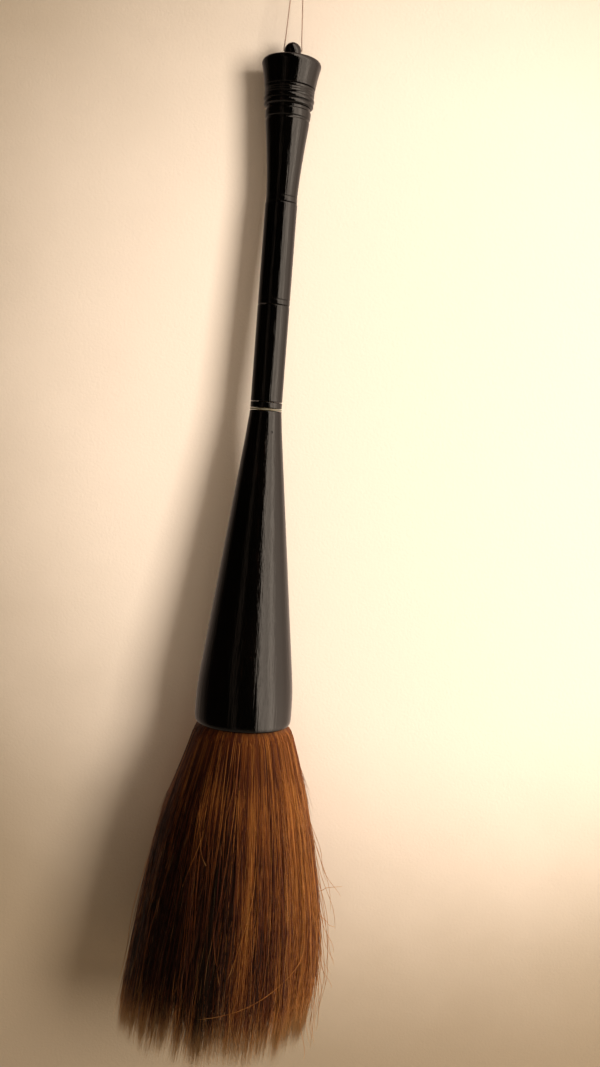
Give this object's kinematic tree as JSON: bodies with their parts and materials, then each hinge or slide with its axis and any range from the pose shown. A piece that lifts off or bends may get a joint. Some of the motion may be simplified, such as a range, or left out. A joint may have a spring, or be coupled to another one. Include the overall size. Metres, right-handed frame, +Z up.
{
  "type": "calligraphy brush",
  "caption": "Large hanging calligraphy brush: turned sectional handle with ball knob and cord loop, long conical ferrule and full hair tuft.",
  "frame": {"origin": "middle of the underside of the cord loop's crown, where the brush hangs on its peg", "axes": "+Z up along the brush's axis, from the hair to the knob; +X along the cord's cross hole in the knob, to the right as the picture sees it; the front faces -Y"},
  "size_m": [0.1174, 0.1174, 0.6491],
  "materials": {
    "horn": "polished black horn",
    "bone": "polished pale bone",
    "cord": "twisted thin cord",
    "bamboo": "bare bamboo",
    "resin": "brown resin",
    "thread": "waxed thread",
    "hair": "reddish-brown animal hair"
  },
  "bodies": {
    "brush": {"hanging_knob": "horn", "end_cap": "horn", "band_ring": "horn", "upper_section": "horn", "upper_dowel": "bamboo", "middle_section": "horn", "middle_dowel": "bamboo", "lower_section": "horn", "joint_collar": "horn", "bone_ring": "bone", "ferrule_dowel": "bamboo", "ferrule": "horn", "root_resin": "resin", "root_binding": "thread", "hair_root": "hair", "hair_base": "hair"},
    "cord_loop": {"hanging_cord": "cord"},
    "tuft": {"hair_core": "hair", "hair_coat": "hair"}
  },
  "joints": [
    {"name": "cord_swing", "type": "hinge", "parent": "brush", "child": "cord_loop", "pos_m": [0, 0, -0.062], "axis": [1, 0, 0], "range_deg": [-100, 100]},
    {"name": "tuft_bend", "type": "hinge", "parent": "brush", "child": "tuft", "pos_m": [0, 0, -0.5195], "axis": [1, 0, 0], "range_deg": [-30, 30], "stiffness_Nm_per_rad": 1}
  ]
}
